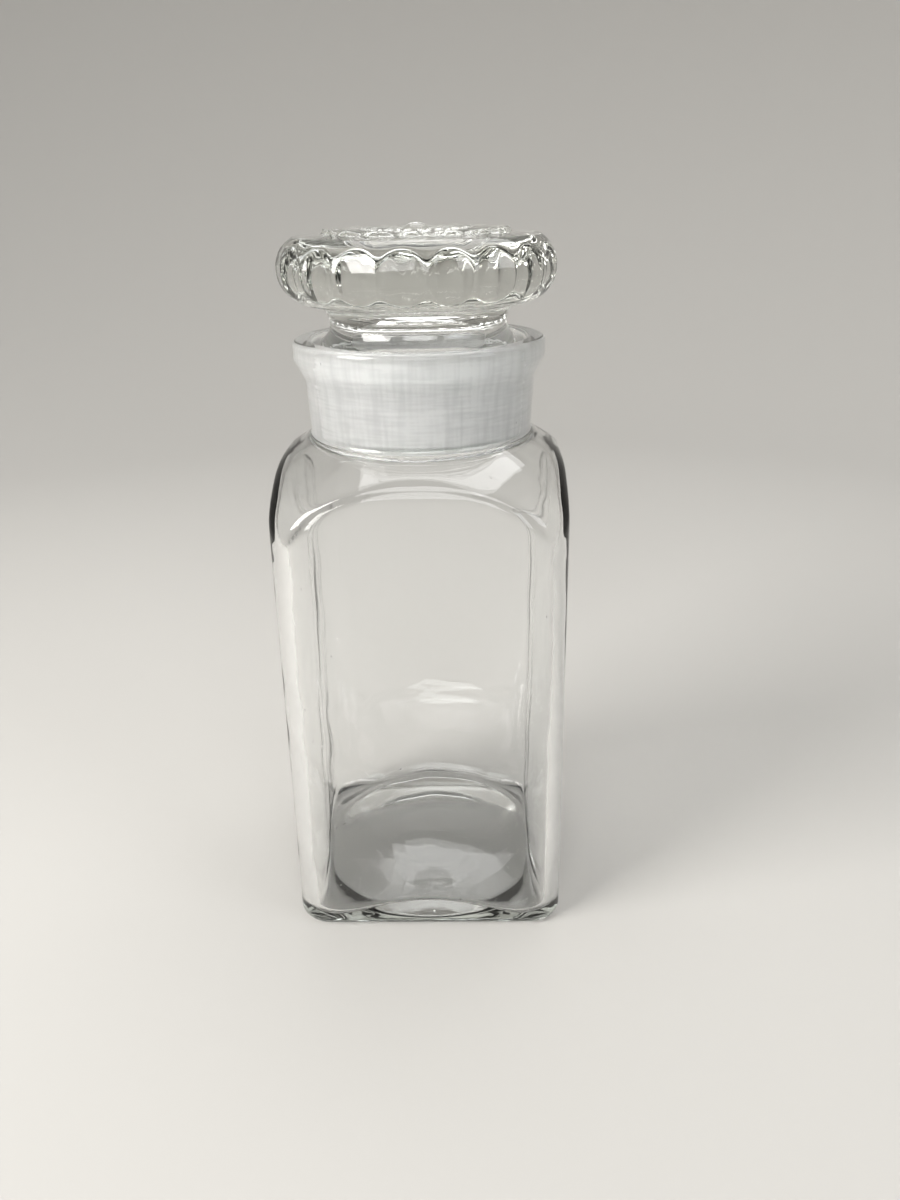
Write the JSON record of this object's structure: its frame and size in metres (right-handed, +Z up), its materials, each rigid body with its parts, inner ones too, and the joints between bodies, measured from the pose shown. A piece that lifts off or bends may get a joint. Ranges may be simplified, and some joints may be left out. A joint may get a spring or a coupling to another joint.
{
  "type": "lidded glass canister",
  "caption": "Square clear glass canister with a round ground neck and a fluted, hollow glass stopper that lifts off.",
  "frame": {"origin": "centre of the square foot, on the table", "axes": "+Z up along the axis of neck and stopper, -Y out of the front wall, +X to the right seen from the front"},
  "size_m": [0.11, 0.11, 0.2743],
  "materials": {
    "jar_glass": "fire-polished, ground in the neck",
    "stopper_glass": "pressed and polished, ground on the plug"
  },
  "bodies": {
    "jar_body": {"jar": "jar_glass"},
    "stopper_body": {"stopper": "stopper_glass"}
  },
  "joints": [
    {"name": "stopper_lift", "type": "slide", "parent": "jar_body", "child": "stopper_body", "axis": [0, 0, 1], "range_m": [0, 0.1]}
  ]
}
